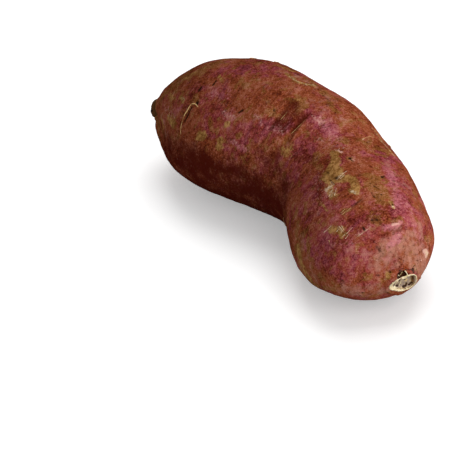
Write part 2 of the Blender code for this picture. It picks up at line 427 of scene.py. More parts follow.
SCURF_PATCHES = (
    ("star, upper arm", ((334, 154), (336, 160), (334, 166), (337, 172)), 4.6, 1.35),
    ("star, left arm", ((325, 178), (328, 173), (332, 170)), 4, 1.3),
    ("star, heart", ((329, 179), (338, 179.5)), 3.4, 1),
    ("star, middle", ((341, 177), (350, 178)), 4.4, 1.1),
    ("star, right arm", ((350, 180), (356, 183), (354, 189)), 4.2, 1.05),
    ("star, lower arm", ((329, 185), (331, 191), (333, 196)), 4.6, 1.15),
    ("star, pink end", ((352, 191), (357, 193)), 2.8, 1),
    ("inside the bend", ((274, 146), (284, 150), (295, 146)), 5.5, 0.64),
    ("inside the bend, low", ((286, 153), (292, 158)), 3.4, 0.5),
    ("back lobe, left blob", ((199.5, 138), (203, 134.5)), 4.4, 1.5),
    ("back lobe, middle blob", ((219, 147), (221, 141)), 4, 1.5),
    ("back lobe, small blob", ((227, 124),), 3, 1.4),
    ("back lobe, upper blob", ((220, 76), (222, 79)), 2.4, 1.3),
    ("back lobe, low fleck", ((225, 158), (227, 162)), 2, 0.9),
    ("stalk end, low", ((169, 118), (174, 124)), 5.4, 1.2),
    ("stalk end, high", ((168, 94), (174, 99)), 4.4, 0.85),
    ("stalk end, edge", ((162, 120), (164, 128)), 3.4, 1.5),
    ("peach patch", ((181, 97), (184, 101)), 3, 1.5),
    ("front lobe, left edge", ((298, 246), (301, 262), (307, 275), (316, 285)), 3.6, 1.3),
    ("right edge band", RIGHT_EDGE, 2.8, 1),
    ("front lobe, dashes", ((333, 229), (340, 231), (344, 234)), 4.2, 1.25),
    ("front lobe, low patch", ((330.5, 252), (332.6, 252)), 1.5, 1.2),
    ("star, lower stroke", ((323, 205), (326, 209), (329, 211)), 1.3, 1.1),
    ("under the nick", ((424, 251), (428, 254), (426, 257)), 1.8, 0.75),
    ("pale pit, halo", ((391, 203), (393, 207)), 2.4, 1.3),
    ("top edge crescent", ((287, 74), (293.5, 79.4), (298, 82.8), (307, 85), (314, 86)), 2.8, 1.35),
    ("back lobe, upper edge", ((178, 84), (190, 76), (204, 68)), 4, 0.72),
    ("top edge blotch", ((283, 68), (292, 71)), 2.2, 0.9),
    ("fork near the bend", ((290, 100), (294, 99), (299, 99.6)), 1.6, 1.1),
    ("speckle near the scar", ((400, 246), (410, 254)), 4, 0.5),
    ("beside the scar", ((386.5, 272), (388.5, 277)), 2.2, 1.1),
)
# Pale marks: the brow streaks and spots are painted highlights, and the top and right edge bands are
# partly a painted rim highlight; the rest are pale flecks and scuffs.
PALE_MARKS_AND_HIGHLIGHTS = (
    ("back lobe, flecks", ((232, 140), (243, 150)), 3.5, 0.3),
    ("back lobe, upper flecks", ((212, 92), (224, 106)), 4.5, 0.35),
    ("pink patch", ((313, 116), (320, 122)), 3, 0.6),
    ("pink flecks", ((322, 122), (333, 138)), 4, 0.45),
    ("flecks, right", ((338, 118), (350, 122)), 3, 0.45),
    ("star, bright streak", ((338, 178.6), (342, 174.6), (347, 171)), 1.3, 1.5),
    ("star, lower streak", ((326.5, 190), (331, 186.4)), 1.3, 1.6),
    ("star, lower arm", ((329, 186), (332, 195)), 3.4, 0.5),
    ("star, end", ((353, 191.5), (357, 193)), 2, 0.95),
    ("grey pit, rim", ((353, 157.6), (355.6, 159), (354, 161)), 1.1, 1.1),
    ("above the star", ((338, 151), (342, 152)), 1.4, 1.1),
    ("star, upper flecks", ((320, 140), (334, 148), (344, 146)), 5, 0.45),
    ("star, left flecks", ((322, 172), (318, 186), (322, 200)), 4.5, 0.35),
    ("stalk end, flecks", ((166, 110), (176, 116), (184, 112)), 5, 0.4),
    ("peach patch", ((182, 98), (184, 100.5)), 2.2, 0.7),
    ("right edge band", RIGHT_EDGE, 2.4, 0.55),
    ("top edge band", ((288, 75), (298, 82.6), (307, 85), (316, 86)), 2, 0.65),
    ("thin line", ((357, 236), (370, 227)), 1.2, 0.9),
    ("stroke", ((325, 232), (331, 226)), 1.1, 0.9),
    ("nick", ((424.5, 251.5), (427.5, 253.5), (426, 256)), 2.2, 1.9),
    ("upper brow streak", ((388, 227.5), (393, 225.5), (398, 223.8)), 1.3, 0.9),
    ("upper brow spots", ((392, 225), (395.5, 224.2), (398.5, 223.2)), 0.9, 1.2),
    ("upper brow, end", ((401, 220), (403.5, 217)), 1, 0.7),
    ("lower brow streak", ((389, 245), (394, 240), (399, 236)), 1.8, 0.55),
    ("dot above the scar", ((421, 260),), 1.1, 1.6),
    ("dot left of the scar", ((385, 280),), 1, 1.6),
    ("fibre spot", ((363, 139),), 1.2, 1.5),
    ("front lobe, strokes", ((350, 242), (362, 250), (376, 262)), 3.4, 0.3),
    ("white speck", ((262, 88),), 0.9, 1.2),
    ("tuft", ((339, 227), (342, 231)), 1.5, 0.8),
    ("pale pit, side", ((396, 205.5), (404, 208)), 1.8, 0.6),
    ("pale pit, halo", ((392, 206.5), (394, 207.5)), 1.4, 1),
    ("between the grooves", ((270, 128), (283, 130)), 4, 0.5),
    ("lilac flecks", ((226, 114), (234, 118)), 3, 0.7),
    ("lilac flecks, low", ((232, 141), (240, 146), (246, 150)), 2.4, 0.3),
    ("lilac flecks, right", ((256, 116), (262, 122)), 2.6, 0.5),
)
DARK_MARKS = (
    ("dash one", ((213, 85), (216, 81)), 1.1, 1),
    ("dash two", ((199, 91), (201, 87)), 1.2, 1),
    ("dash three", ((239, 113), (243, 110)), 1.1, 1),
    # Painted shadow of the long hair, a dark line right beside it
    ("beside the hair", ((192, 107), (190, 111), (187, 117), (184.6, 122)), 0.9, 1),
    ("beside the hair, low", ((184, 124), (182.6, 130)), 0.8, 0.5),
    ("smudge", ((363, 227.5), (364.7, 230)), 1.3, 0.9),
    ("low smudge", ((377, 247), (380, 251)), 2, 0.55),
    ("star, dark", ((330, 180), (332, 182), (335, 185)), 0.9, 0.7),
    ("star, heart", ((328, 175), (333, 177.5), (337, 180)), 2.2, 0.45),
    ("star, upper dark", ((336.6, 178), (341, 176.8)), 0.9, 0.62),
    ("star, left dark", ((326, 172), (328, 173)), 1, 0.5),
    ("grey pit, lower rim", ((350.6, 160), (353, 161.4)), 0.8, 0.9),
    ("star, lower dark", ((329, 186), (331, 190)), 1, 0.5),
    ("star, right dot", ((345, 182),), 1, 0.8),
    ("brown stroke", ((352, 207), (357, 203), (361, 199)), 1.3, 0.6),
    # Painted shade in the groove of the bend
    ("groove in the bend", ((297, 125), (300, 119), (304, 115)), 1.5, 0.4),
    ("speck low left", ((177, 151),), 1.1, 0.9),
    ("crack in the bend", ((263, 126), (268, 118), (275, 109)), 0.9, 0.5),
    ("line to the fibre", ((350, 139), (357, 138), (362, 136)), 0.9, 0.5),
    ("scar, left smudge", ((376, 275), (379, 276)), 1.3, 0.6),
    ("dot on the rim", ((429, 213), (431, 218)), 1.2, 0.9),
    ("rough patch, upper", ((381, 177), (385, 176)), 1, 0.8),
    ("rough patch, lower", ((374, 186), (380, 190)), 1, 0.55),
    ("rough patch, low left", ((371, 192), (374, 197)), 1, 0.7),
    ("dash near the scar", ((387, 266),), 0.9, 0.6),
    ("dash by the bend", ((273, 184), (275, 187)), 1.1, 0.6),
)
WRINKLES = (
    ("fine groove one", ((262, 130), (268, 120), (276, 108), (289, 90)), 1.4, 0.5),
    ("fine groove two", ((270, 128), (277, 118), (286, 106), (298, 95)), 1.3, 0.45),
    ("fine groove three", ((281, 132), (288, 121), (296, 109)), 1.3, 0.45),
    ("deep groove", ((287, 139), (295, 127), (301, 119), (307, 113)), 2.8, 0.8),
    ("low groove", ((254, 152), (262, 141), (268, 131)), 1.4, 0.4),
    ("inside fold", ((262, 162), (272, 152), (284, 142)), 2.6, 0.5),
    ("inside fold, right", ((283, 165), (291, 155), (300, 147)), 2.2, 0.4),
    ("back lobe, left groove", ((243, 145), (247, 132), (252, 120)), 1.3, 0.4),
    ("back lobe, right groove", ((250, 143), (254, 131), (259, 121)), 1.3, 0.35),
    ("back lobe, high groove", ((231, 99), (236, 92), (242, 84)), 1.4, 0.35),
    ("front stroke", ((341, 213), (350, 206), (360, 199)), 1.9, 0.45),
    ("between the brows", ((380, 240), (392, 235), (403, 229)), 2.6, 0.7),
    ("above the upper brow", ((374, 224), (387, 219), (400, 215)), 2, 0.25),
    ("below the lower brow", ((386, 257), (396, 250), (405, 242)), 2.2, 0.25),
    ("left of the scar", ((372, 281), (380, 279), (386, 281)), 2, 0.2),
)
RIDGES = (
    ("upper brow", ((378, 231), (388, 227), (400, 222)), 3, 0.8),
    ("lower brow", ((386, 252), (393, 244), (403, 236)), 3.2, 0.8),
    ("by the deep groove", ((291, 141), (299, 130), (306, 121)), 2, 0.35),
    ("between grooves", ((274, 130), (281, 120), (290, 107)), 1.6, 0.2),
    ("past the bend", ((310, 128), (318, 118), (324, 111)), 3, 0.3),
)
# Pits: each has its pixel, and its radius, its depth and its rim's height in mm
PITS = (
    ("grey pit", (349.5, 158), 1.2, 1, 0.3),
    ("near the top edge", (323, 95), 1, 0.7, 0.2),
    ("pit on the flank", (394, 181), 0.8, 0.5, 0.2),
    ("pit in the halo", (392.5, 204.5), 0.9, 0.7, 0.35),
    ("double pit, left", (372.3, 220.3), 1.5, 0.42, 0.2),
    ("double pit, right", (376.6, 219.6), 1.5, 0.48, 0.2),
    ("hair pit", (197, 103.5), 1.4, 0.8, 0.1),
    ("speck by the bend", (274, 110), 0.7, 0.5, 0.1),
    ("bud, bottom", (362, 293), 1.2, 0.5, 0.4),
    ("bud, bottom right", (379, 293), 1, 0.4, 0.3),
    ("bud, low left", (342.5, 280.5), 0.9, 0.4, 0.3),
    ("bud, low middle", (364, 274.5), 0.9, 0.3, 0.3),
    ("dot beside the scar", (390.4, 272.7), 0.8, 0.6, 0.15),
    ("right of the crust", (416.5, 271.4), 0.7, 0.5, 0.1),
    ("above the crust", (414.3, 266.3), 0.8, 0.5, 0.2),
)
# The torn root's scar: its rim with the rim's thickness in mm, and the hole above it
SCAR_RIM = (
    (388.8, 287.5, 0.4), (390.9, 284.4, 0.35), (393.9, 281.9, 0.3), (397, 279.9, 0.3),
    (399.5, 278.6, 0.28), (402.9, 277.6, 0.36), (405.4, 276.8, 0.36), (407.6, 275.4, 0.3),
    (410, 274.9, 0.24), (412.6, 274.2, 0.24), (414.4, 274.4, 0.24), (416.1, 276.2, 0.26),
    (416.6, 278.6, 0.22), (415.7, 281.2, 0.16), (414.1, 284, 0.16), (411.5, 286.3, 0.18),
    (408.4, 288.2, 0.28), (405, 289.6, 0.32), (400.8, 290.4, 0.36), (397.2, 290.3, 0.38),
    (394.4, 289.6, 0.4), (390.6, 289, 0.4),
)
SCAR_HOLE = (
    (396.8, 277), (397.2, 273.6), (399.8, 272), (402.6, 270.9), (405.2, 270.8),
    (407.3, 273.2), (406.8, 276.1), (404.2, 277.1), (401.4, 277.6), (399, 278.9),
)
SCAR_DARKS = (
    ("slit, far left", ((394.2, 283.8), (393.2, 286.4)), 0.6, 0.75),
    ("slit, upper left", ((399.6, 280.2), (398, 281.9)), 0.65, 0.85),
    ("round dot", ((397, 285.6),), 0.85, 2.2),
    ("slit, top", ((404, 279.5), (405.6, 279.6)), 0.6, 0.8),
    ("arc", ((406.4, 283.2), (405.6, 285.4), (402.8, 286.5)), 0.75, 1.5),
    ("dash, right", ((408.6, 284.6), (411.6, 282.5)), 0.75, 1.9),
    ("shade, right", ((412.6, 276.6), (413.2, 278.4)), 0.8, 0.7),
    ("right rim", ((416.2, 279.8), (414.8, 283.6)), 0.5, 0.6),
    ("left of the hole", ((397.6, 276.2), (398, 277.8)), 0.9, 0.9),
    ("above the hole", ((399.3, 270.9),), 0.8, 0.8),
    ("behind the spur", ((409.8, 272.8), (412, 272.2)), 1.5, 0.2),
    ("crust", ((404.8, 269.4), (409, 270), (412.6, 269.4)), 0.9, 0.35),
    ("crust, right", ((413, 268.4), (413.6, 272)), 0.8, 0.9),
    ("under the crust", ((403, 268.6), (400.5, 269.8)), 0.8, 0.6),
)
SCAR_BROWNS = (
    ("right side", ((412.4, 277), (412.8, 281)), 2.2, 1.1),
    ("middle", ((404.5, 285.5), (407, 284)), 1.8, 0.7),
    ("spot beside the scar", ((387, 278), (389.5, 274)), 2.2, 1.6),
    ("right of the crust", ((415, 267), (416, 270)), 1.6, 0.8),
)

# Marks on the sides that the photograph doesn't show, like those that it does
CHANCE = random.Random(12)
MIDDLE_HEIGHT = 0.035


def hidden_places(count):
    """Places scattered over the hidden sides, each with the way round the root there."""
    found = []
    low, high = CAD_BOX
    while len(found) < count:
        guess = Vector([CHANCE.uniform(low[axis], high[axis]) for axis in range(3)])
        outward = guess - Vector((guess.x, 0, MIDDLE_HEIGHT))
        place, facing, _, _ = bare_surface.find_nearest(guess + outward * 2)
        if facing.dot(EYE - place) < 0 and place.z > 2 * MM:
            found.append((place, facing, facing.cross(Vector((1, 0, 0))).normalized()))
    return found


def hidden_marks(count, length, reach, strength):
    """Short marks that mostly run round the root; each value is a range to choose from."""
    lines = []
    for place, facing, around in hidden_places(count):
        way = around + CHANCE.uniform(-0.5, 0.5) * facing.cross(around)
        half = way.normalized() * CHANCE.uniform(*length) * MM / 2
        lines.append(([place - half, place + half], CHANCE.uniform(*reach), CHANCE.uniform(*strength)))
    return lines


HIDDEN_ZONES = hidden_marks(14, (4, 20), (7, 14), (0.4, 0.8))
HIDDEN_BROWN_ZONES = hidden_marks(14, (4, 20), (6, 12), (0.4, 0.8))
HIDDEN_OCHRE = hidden_marks(16, (2, 10), (3, 7), (0.6, 1.0))
HIDDEN_SCURF = hidden_marks(38, (0.5, 6), (1.6, 4.0), (0.6, 1.0))
HIDDEN_PALE = hidden_marks(40, (0.5, 5), (1.0, 3.5), (0.4, 1.0))
HIDDEN_DASHES = hidden_marks(46, (0.2, 2.4), (0.8, 1.4), (0.7, 1.2))
HIDDEN_WRINKLES = hidden_marks(26, (6, 22), (1.2, 2.4), (0.12, 0.35))
HIDDEN_PITS = [
    (place, CHANCE.uniform(0.7, 1.3), CHANCE.uniform(0.4, 0.9), CHANCE.uniform(0.1, 0.35))
    for place, _, _ in hidden_places(22)]

ROUGH_PATCH = ((370, 176), (378, 172), (386, 178), (388, 188), (386, 202), (376, 200), (368, 188))
ROUGH_PITS = 24


def rough_pits():
    """Little pits crowded over the rough patch."""
    chance = random.Random(5)
    pits = []
    while len(pits) < ROUGH_PITS:
        pixel = (chance.uniform(367, 389), chance.uniform(171, 203))
        if inside_by(np.array([pixel]), ROUGH_PATCH)[0] > 0:
            pits.append(("in the rough patch", pixel, chance.uniform(0.5, 0.9),
                         chance.uniform(0.18, 0.5), chance.uniform(0.05, 0.2)))
    return tuple(pits)


magenta = 0.42 + 0.3 * noise_at(PLACES, 24 * MM, 3, 2)
magenta += marked(MAGENTA_ZONES) - marked(TERRACOTTA_ZONES)
magenta += total_of(HIDDEN_ZONES, WARPED) - total_of(HIDDEN_BROWN_ZONES, WARPED)
magenta -= 0.25 * pick(-PLACES[:, 0], 0, 50 * MM)
ochre = marked(OCHRE_ZONES) + total_of(HIDDEN_OCHRE, WARPED)
ochre += 0.7 * pick(noise_at(PLACES, 17 * MM, 5, 3), 0.4, 0.8)
# Rose and lilac maps: partly the skin's own colours, partly painted light and painted highlights on the
# lit side, the rims and the brows
rose_and_painted_light = marked(ROSE_AND_PAINTED_LIGHT_ZONES)
lilac = marked(LILAC_AND_HIGHLIGHT_ZONES) + 0.4 * total_of(HIDDEN_PALE, WARPED)
# Painted shade: the concave side of the bend, facing down and to the viewer's left, and the underside
# facing down, get dark maroon
hollow_shade = pick(0.4 - FACING[:, 2], 0, 0.4) * pick(-FACING[:, 1], 0.2, 0.8)
hollow_shade *= pick(PLACES[:, 0] / MM, -86, -52) * (1 - pick(PLACES[:, 0] / MM, 16, 38))
deep = marked(PAINTED_SHADE_ZONES) + hollow_shade + 0.5 * pick(-FACING[:, 2], 0.4, 1.0)
scurf = 1.5 * (marked(SCURF_PATCHES) + total_of(HIDDEN_SCURF, WARPED)) - 0.5 - hollow_shade
# Pale flecks, with painted highlights on the brows and along the top and right edges
pale = marked(PALE_MARKS_AND_HIGHLIGHTS) + total_of(HIDDEN_PALE, WARPED)
dark = marked(DARK_MARKS, 0.4) + total_of(HIDDEN_DASHES, WARPED)

# Fine relief of the skin, in mm
relief = 0.22 * noise_at(PLACES, 10 * MM, 21, 2) + 0.10 * noise_at(PLACES, 4 * MM, 22, 2)
relief += 0.08 * noise_at(STRAIGHT / np.array([2.0, 9.0, 9.0]), MM, 23, 2)
relief -= 0.2 * np.clip(dark, 0, 1.2)
relief += 0.12 * np.clip(scurf, 0, 1) * (1 + noise_at(PLACES, 1.2 * MM, 25, 2))
relief += marked(RIDGES, 0.5) - marked(WRINKLES, 0.5) - total_of(HIDDEN_WRINKLES, WARPED)
for place, radius, depth, rim in [
        (skin_at(pixel)[0], radius, depth, rim)
        for _, pixel, radius, depth, rim in PITS + rough_pits()] + HIDDEN_PITS:
    distance = away_from([place], PLACES + (WARPED - PLACES) * 0.4)
    sunk = bell(distance, radius * MM)
    relief -= depth * sunk
    relief += rim * bell(np.abs(distance - radius * 1.25 * MM), 0.9 * radius * MM)
    dark += min(1.4, 1.8 * depth) * bell(distance, 1.05 * radius * MM)
    ochre += 0.8 * bell(distance, 2.2 * radius * MM)

# The scar, where the thin root tore off
view = seen_at(PLACES)
SCAR_REACH = 13 * MM
FAR_OFF = 50
jagged = 0.7 * noise_at(PLACES, 1.3 * MM, 31, 3)
by_scar = np.linalg.norm(PLACES - np.array(SCAR_MIDDLE), axis=1) < SCAR_REACH
by_scar &= FACING @ np.array(BACK) > 0.02
in_scar = np.where(by_scar, inside_by(view, SCAR_RIM) + jagged, -FAR_OFF)
in_hole = np.where(by_scar, inside_by(view, SCAR_HOLE) + 0.6 * jagged, -FAR_OFF)
scar_floor = pick(in_scar, 0.8, 3.2)
relief += 0.4 * bell(np.abs(in_scar - 0.3), 1.9) - 1.4 * scar_floor
relief += 0.8 * bell(np.abs(in_scar + 2.6), 3.0)
relief += 0.4 * pick(in_scar, 0.0, 2.0) * noise_at(PLACES, 1.4 * MM, 32, 3)
relief -= 2.0 * pick(in_hole, -0.6, 2.0)
# The hole is painted dark as the shade inside it
dark += 1.6 * pick(in_hole, -0.4, 1.0)
scar = pick(in_scar, -0.3, 0.5)
lip = 0.8 - 0.5 * pick(view[:, 0], 406, 411) + 1.4 * pick(402 - view[:, 0], 0, 9)
lip += 0.6 * pick(view[:, 1], 286, 289)
cream = 1.0 - pick(in_scar - lip, -0.8, 1.0)

SUNK = seen_at(PLACES + FACING * (relief * MM)[:, None])
SUNK += 0.35 * np.stack([noise_at(PLACES, 1.1 * MM, 33 + axis, 2) for axis in range(2)], 1)


def drawn(marks):
    """The sum of marks by the scar, placed as the photograph shows them on the sunken floor."""
    total = np.zeros(len(SUNK))
    for _, pixels, reach, strength in marks:
        total += strength * bell(away_from(pixels, SUNK), reach * PIXELS_PER_MM)
    return np.where(by_scar, total, 0)


dark += drawn(SCAR_DARKS)
ochre += drawn(SCAR_BROWNS)

# The stub of the stalk, a low dry disc with a collar round it
STUB_WAY = Vector(FACING[away_from([STUB_MIDDLE]) < 4 * MM].mean(0)).normalized()
STUB_RADIUS = 4.9
STUB_REACH = 11 * MM
off_stub = PLACES - np.array(STUB_MIDDLE)
height = off_stub @ np.array(STUB_WAY)
from_axis = np.linalg.norm(off_stub - height[:, None] * np.array(STUB_WAY), axis=1) / MM
from_axis += 0.35 * noise_at(PLACES, 2.5 * MM, 41, 2)
from_axis = np.where(np.linalg.norm(off_stub, axis=1) < STUB_REACH, from_axis, FAR_OFF)
disc = 1 - pick(from_axis, STUB_RADIUS - 0.6, STUB_RADIUS + 0.6)
relief += disc * (1.0 + 0.4 * noise_at(PLACES, 1.5 * MM, 42, 3))
relief += 0.25 * bell(np.abs(from_axis - STUB_RADIUS - 1.2), 1.2)
relief -= 0.25 * bell(np.abs(from_axis - STUB_RADIUS - 0.3), 0.7)
bark = 1 - pick(from_axis, STUB_RADIUS + 0.4, STUB_RADIUS + 1.2)
dark += 0.8 * (1 - pick(from_axis, STUB_RADIUS - 2.6, STUB_RADIUS - 1.6))
ochre += 0.9 * bell(np.abs(from_axis - STUB_RADIUS - 1.0), 2.4)

rests = pick(PLACES[:, 2], 0.4 * MM, 3 * MM)
moved = PLACES + FACING * (relief * MM * rests)[:, None]
skin.data.vertices.foreach_set("co", moved.ravel())
skin.data.update()


def keep_map(mesh, name, values):
    """Keeps a value for each point of the mesh, for the material to read."""
    values = np.ascontiguousarray(values, dtype=np.float32)
    kind = "FLOAT" if values.ndim == 1 else "FLOAT_VECTOR"
    field = "value" if values.ndim == 1 else "vector"
    mesh.attributes.new(name, kind, "POINT").data.foreach_set(field, values.ravel())


for name, values in (
        ("straight", STRAIGHT / MM), ("magenta", magenta), ("ochre", ochre), ("rose_and_painted_light", rose_and_painted_light),
        ("lilac", lilac), ("deep", deep), ("scurf", scurf), ("pale", pale), ("dark", dark),
        ("scar", scar), ("cream", cream), ("bark", bark)):
    keep_map(skin.data, name, values)


# Short ways to add nodes
def fill(nodes, made, inputs):
    """Each input is given by its number or name, as a value or as a socket to join."""
    for socket, value in inputs.items():
        if isinstance(value, bpy.types.NodeSocket):
            nodes.links.new(value, made.inputs[socket])
        else:
            made.inputs[socket].default_value = value


def add(nodes, kind, inputs=None, **settings):
    """Adds a node, with its settings and its inputs."""
    made = nodes.nodes.new(kind)
    for name, value in settings.items():
        setattr(made, name, value)
    fill(nodes, made, inputs or {})
    return made


def sum_of(nodes, first, second, operation="ADD"):
    return add(nodes, "ShaderNodeMath", {0: first, 1: second}, operation=operation).outputs[0]


def rise(nodes, value, low, high, top=1.0, bottom=0.0):
    """Rises smoothly from bottom at low to top at high."""
    return add(
        nodes, "ShaderNodeMapRange", {0: value, 1: low, 2: high, 3: bottom, 4: top},
        interpolation_type="SMOOTHSTEP").outputs[0]


def over(nodes, under, colour, share):
    """Lays a colour over another by a share from 0 to 1."""
    return add(
        nodes, "ShaderNodeMix", {0: share, 6: under, 7: colour}, data_type="RGBA").outputs[2]


def laid(nodes, under, colour, value, low, high, top=1.0):
    """Lays a colour over another, more of it as the value rises from low to high."""
    return over(nodes, under, colour, rise(nodes, value, low, high, top))


def grain(nodes, place, size, stretch=(1, 1, 1), detail=3.0, rough=0.55, seed=0.0):
    """Noise whose lumps are about so many mm, longer by stretch along each direction."""
    scaled = add(nodes, "ShaderNodeVectorMath", {
        0: place, 1: tuple(1 / (size * part) for part in stretch)}, operation="MULTIPLY")
    shifted = add(
        nodes, "ShaderNodeVectorMath", {0: scaled.outputs[0], 1: (seed, seed * 0.7, seed * 1.3)})
    return add(nodes, "ShaderNodeTexNoise", {
        "Vector": shifted.outputs[0], "Scale": 1.0, "Detail": detail, "Roughness": rough}).outputs[0]


def value_map(nodes, name, vector=False):
    made = add(nodes, "ShaderNodeAttribute", attribute_name=name)
    return made.outputs["Vector"] if vector else made.outputs["Fac"]


def new_material(name, roughness, shine=0.0):
    material = bpy.data.materials.new(name)
    material.use_nodes = True
    nodes = material.node_tree
    shader = nodes.nodes["Principled BSDF"]
    fill(nodes, shader, {"Roughness": roughness, "Specular IOR Level": shine})
    return material, nodes, shader


def centred(nodes, value, strength):
    """Noise from 0 to 1 turned into a push up or down of so much."""
    return sum_of(nodes, sum_of(nodes, value, -0.5), strength, "MULTIPLY")


def broken(nodes, value, grains, strength):
    """A value, or the map of that name, with noise added that breaks up its edges."""
    if isinstance(value, str):
        value = value_map(nodes, value)
    return sum_of(nodes, value, centred(nodes, grains, strength))


def skin_material():
    material, nodes, shader = new_material("sweet potato skin", 0.45)
    place = value_map(nodes, "straight", vector=True)
    clouds = grain(nodes, place, 9.0, detail=2.0, seed=3.1)
    blotches = grain(nodes, place, 2.8, (1, 1.4, 1.4), 1.3, 0.6, 7.7)
    other_blotches = grain(nodes, place, 4.0, (1, 1.3, 1.3), 1.6, 0.6, 15.2)
    specks = grain(nodes, place, 1.1, (1, 1.6, 1.6), 3.0, 0.6, 12.9)
    fine = grain(nodes, place, 0.5, (1, 1.4, 1.4), 2.0, 0.6, 20.3)

    # Ground colour, from large soft zones down to small blotches
    pinkness = broken(nodes, "magenta", clouds, 2.6)
    pinkness = broken(nodes, pinkness, blotches, 2.0)
    colour = laid(nodes, TERRACOTTA, MAGENTA, pinkness, 0.0, 1.1)
    mauveness = broken(nodes, pinkness, other_blotches, 4.5)
    colour = laid(nodes, colour, MAUVE, mauveness, 0.7, 1.6, 0.7)
    ochreness = broken(nodes, "ochre", other_blotches, -4.5)
    colour = laid(nodes, colour, OCHRE, ochreness, 0.2, 0.9, 0.9)
    # Dusty rose, partly the skin's own colour and partly painted light, painted highlights and a painted
    # rim reflection
    rose_and_painted_light_share = broken(nodes, "rose_and_painted_light", blotches, 2.5)
    colour = laid(nodes, colour, DUSTY_ROSE_AND_PAINTED_LIGHT, rose_and_painted_light_share, 0.2, 1.2, 0.85)
    # Lilac flecks, and painted highlights on the brows
    lilac_and_highlight_share = broken(nodes, "lilac", specks, 2.4)
    colour = laid(nodes, colour, LILAC_AND_HIGHLIGHT, lilac_and_highlight_share, 0.15, 1.2, 0.62)

    # Mottling of every size: a pale bloom where it is worn, and deep red in between
    mottle = grain(nodes, place, 11.0, (1, 1.4, 1.4), 7.0, 0.92, 24.6)
    mottle = broken(nodes, mottle, specks, 0.35)
    mottle = broken(nodes, mottle, fine, 0.6)
    colour = laid(nodes, colour, DUST, mottle, 0.48, 0.78, 0.55)
    worn = sum_of(nodes, mottle, sum_of(nodes, value_map(nodes, "rose_and_painted_light"), 0.05, "MULTIPLY"))
    colour = laid(nodes, colour, DEEP_RED, worn, 0.54, 0.28, 0.95)
    # Painted shade: dark maroon laid by the deep map, in the hollow of the bend, its creases and on the
    # underside
    painted_shade_share = broken(nodes, "deep", clouds, 1.6)
    painted_shade_share = broken(nodes, painted_shade_share, mottle, -1.5)
    colour = laid(nodes, colour, PAINTED_SHADE_MAROON, painted_shade_share, 0.0, 1.1, 0.97)

    # Pale flecks with painted highlights on the brows, dry scurf, and dark dashes and pits
    flecks = grain(nodes, place, 1.0, (1, 1.3, 1.3), 4.0, 0.75, 31.7)
    paleness_and_highlight = sum_of(nodes, sum_of(nodes, value_map(nodes, "pale"), 0.24, "MULTIPLY"), flecks)
    dry = grain(nodes, place, 3.0, detail=6.0, rough=0.75, seed=41.0)
    scurfiness = broken(nodes, "scurf", dry, 4.6)
    patchy = broken(nodes, centred(nodes, blotches, 1.5), specks, 1.4)
    patchy = broken(nodes, patchy, fine, 1.2)
    tan = laid(nodes, OLIVE, SCURF, patchy, -0.35, 0.35)
    colour = laid(nodes, colour, tan, scurfiness, 0.3, 1.15, 0.85)
    fleck = laid(nodes, PALE_FLECK_AND_HIGHLIGHT, CREAM, scurfiness, 0.0, 1.4, 0.8)
    colour = laid(nodes, colour, fleck, paleness_and_highlight, 0.6, 0.85, 0.7)
    dashes = grain(nodes, place, 0.9, (1, 2.2, 2.2), 2.0, 0.5, 55.0)
    colour = laid(nodes, colour, BARK, dashes, 0.27, 0.2, 0.12)

    # The scar's torn flesh and the stub's dry end
    flesh = grain(nodes, place, 1.6, detail=4.0, rough=0.65, seed=61.0)
    torn = laid(nodes, SCAR_GREY, SCAR_TAN, flesh, 0.47, 0.68)
    torn = laid(nodes, torn, UMBER, value_map(nodes, "ochre"), 0.3, 1.1)
    torn = laid(nodes, torn, CREAM, broken(nodes, "cream", flesh, 1.2), 0.3, 0.8)
    colour = over(nodes, colour, torn, value_map(nodes, "scar"))
    end = laid(nodes, BARK, UMBER, specks, 0.18, 0.42)
    colour = over(nodes, colour, end, value_map(nodes, "bark"))
    # Dark dashes, pits, crust and bark, with the painted shadow beside the long hair and painted shade
    # in the bend's groove and in the scar's hole
    darkness = broken(nodes, "dark", fine, 0.9)
    colour = laid(nodes, colour, BARK, darkness, 0.3, 0.75, 0.96)

    rough = sum_of(nodes, sum_of(nodes, specks, 0.3, "MULTIPLY"), 0.34)
    rough = sum_of(nodes, rough, rise(nodes, scurfiness, 0.4, 0.8, 0.25))
    height = sum_of(nodes, sum_of(nodes, blotches, 0.8, "MULTIPLY"), specks)
    height = sum_of(nodes, height, sum_of(nodes, fine, 0.6, "MULTIPLY"))
    bump = add(nodes, "ShaderNodeBump", {"Strength": 0.5, "Distance": 0.0005, "Height": height})
    fill(nodes, shader, {"Base Color": colour, "Roughness": rough, "Normal": bump.outputs[0]})
    return material


finished(skin.data, skin_material())
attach(skin, "root")
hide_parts("sweet_potato")


# Root hairs and torn fibres
def kept_piece(name, mesh, material):
    mesh.name = name
    finished(mesh, material)
    piece = put_in_scene(name, mesh)
    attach(piece, "root")
    return piece


def strands(name, lines, material, closed=False, roughness=0.0):
    """Thin tubes as one piece; each line is a list of points with their radius in mm."""
    curve = bpy.data.curves.new(name, "CURVE")
    curve.dimensions = "3D"
    curve.bevel_depth = MM
    curve.bevel_resolution = 1
    curve.resolution_u = 5
    curve.use_fill_caps = True
    for line in lines:
        spline = curve.splines.new("NURBS")
        spline.points.add(len(line) - 1)
        spline.order_u = 3
        spline.use_cyclic_u = closed
        spline.use_endpoint_u = not closed
        for point, (place, radius) in zip(spline.points, line):
            point.co = (*place, 1)
            point.radius = radius
    holder = put_in_scene(name + "_line", curve)
    mesh = plain_mesh(holder)
    bpy.data.objects.remove(holder)
    bpy.data.curves.remove(curve)
    if roughness:
        for vert in mesh.vertices:
            vert.co += noise.noise_vector(vert.co / (0.9 * MM)) * roughness * MM
    return kept_piece(name, mesh, material)


